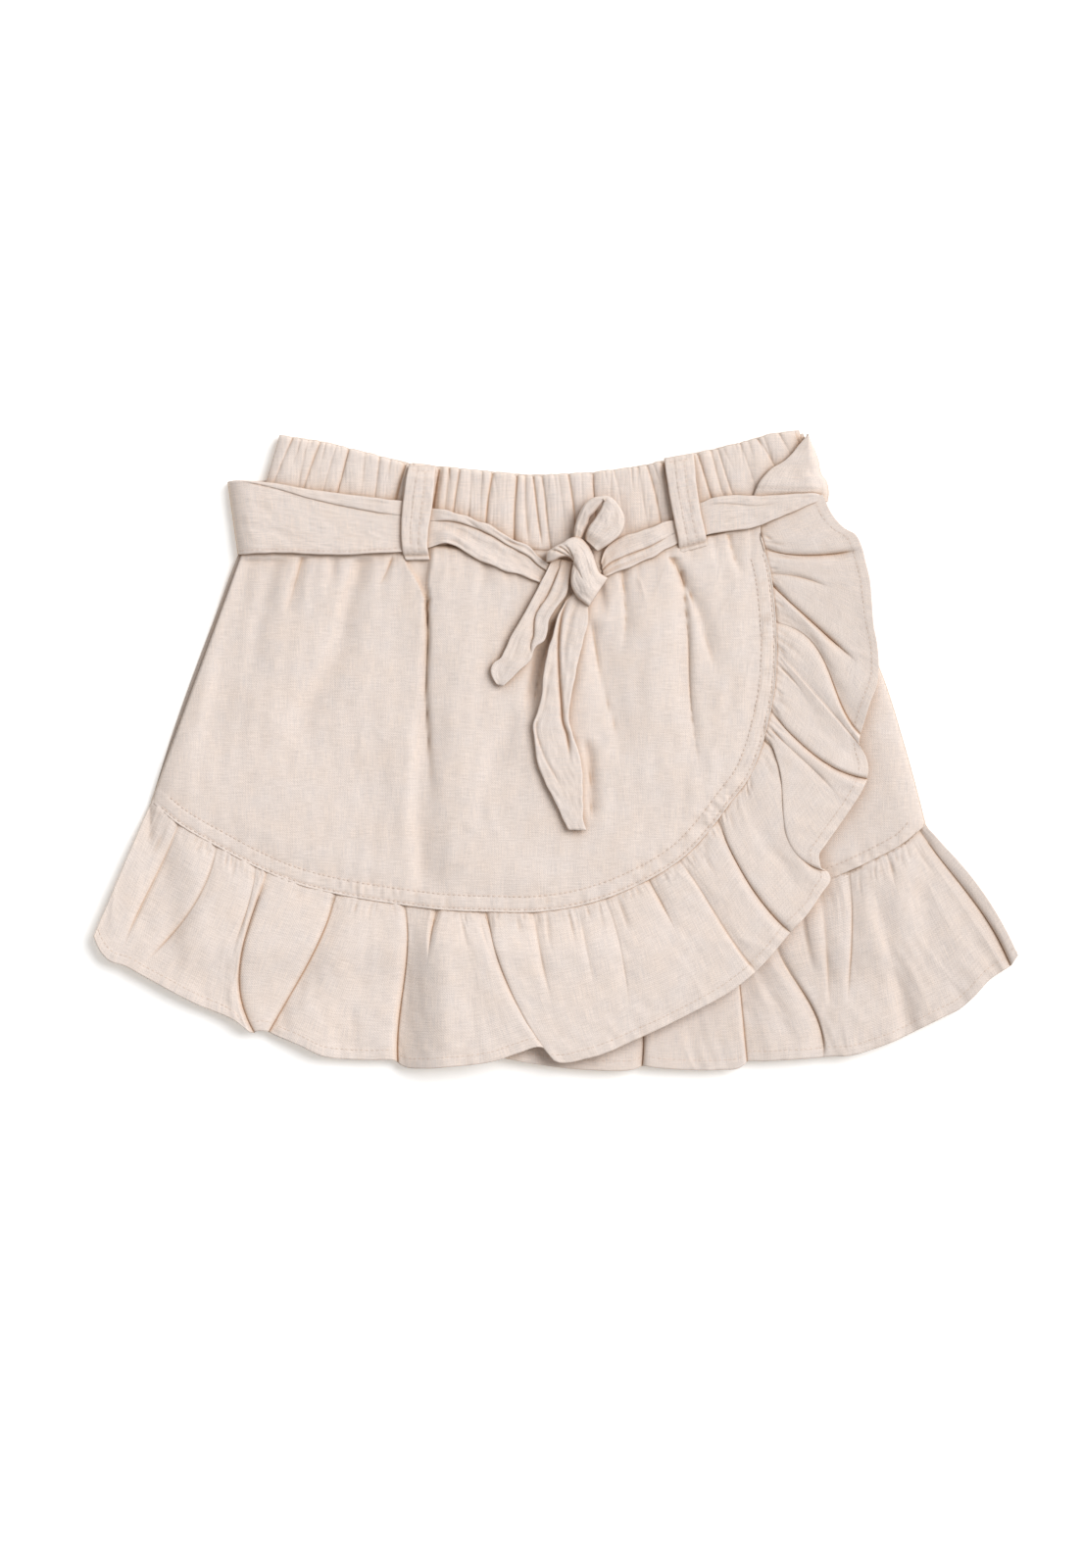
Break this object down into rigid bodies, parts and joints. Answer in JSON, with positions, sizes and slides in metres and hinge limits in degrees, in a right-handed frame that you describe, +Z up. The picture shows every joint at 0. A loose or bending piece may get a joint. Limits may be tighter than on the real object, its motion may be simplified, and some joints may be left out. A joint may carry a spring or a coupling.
{
  "type": "skort",
  "caption": "Child's wrap-look linen skort laid flat, with a ruffled hem and wrap edge, a gathered elastic waist, belt loops and a knotted tie belt.",
  "frame": {"origin": "on the surface that the garment lies on, under the middle of its box in plan", "axes": "+Z up from the surface, through the back to the front of the garment; +Y from the hem to the waist; +X to the wearer's left"},
  "size_m": [0.4516, 0.3131, 0.0186],
  "materials": {
    "skirt_linen": "cream linen blend, plain weave with slubs, matt and slightly creased",
    "ruffle_linen": "the same cream linen blend, gathered, with a narrow turned hem",
    "shorts_linen": "the same cream linen blend, plain and unseen",
    "waistband_linen": "the same cream linen blend, doubled and gathered on elastic",
    "belt_linen": "the same cream linen blend, doubled and edge stitched",
    "loop_linen": "the same cream linen blend, folded and twin stitched"
  },
  "bodies": {
    "root": {"wrap_panel": "skirt_linen", "inner_panel": "skirt_linen", "back_panel": "skirt_linen", "wrap_ruffle": "ruffle_linen", "inner_ruffle": "ruffle_linen", "back_ruffle": "ruffle_linen", "shorts_front_left": "shorts_linen", "shorts_front_right": "shorts_linen", "shorts_back_left": "shorts_linen", "shorts_back_right": "shorts_linen", "waistband_front": "waistband_linen", "waistband_back": "waistband_linen", "belt_left_stretch": "belt_linen", "belt_inner_left_stretch": "belt_linen", "belt_inner_right_stretch": "belt_linen", "belt_right_stretch": "belt_linen", "belt_corner_stretch": "belt_linen", "belt_back_stretch": "belt_linen", "belt_tail_right": "belt_linen", "belt_tail_left": "belt_linen", "belt_knot": "belt_linen", "belt_bow": "belt_linen", "belt_loop_front_right": "loop_linen", "belt_loop_front_left": "loop_linen", "belt_loop_back_right": "loop_linen", "belt_loop_back_left": "loop_linen"}
  },
  "joints": []
}
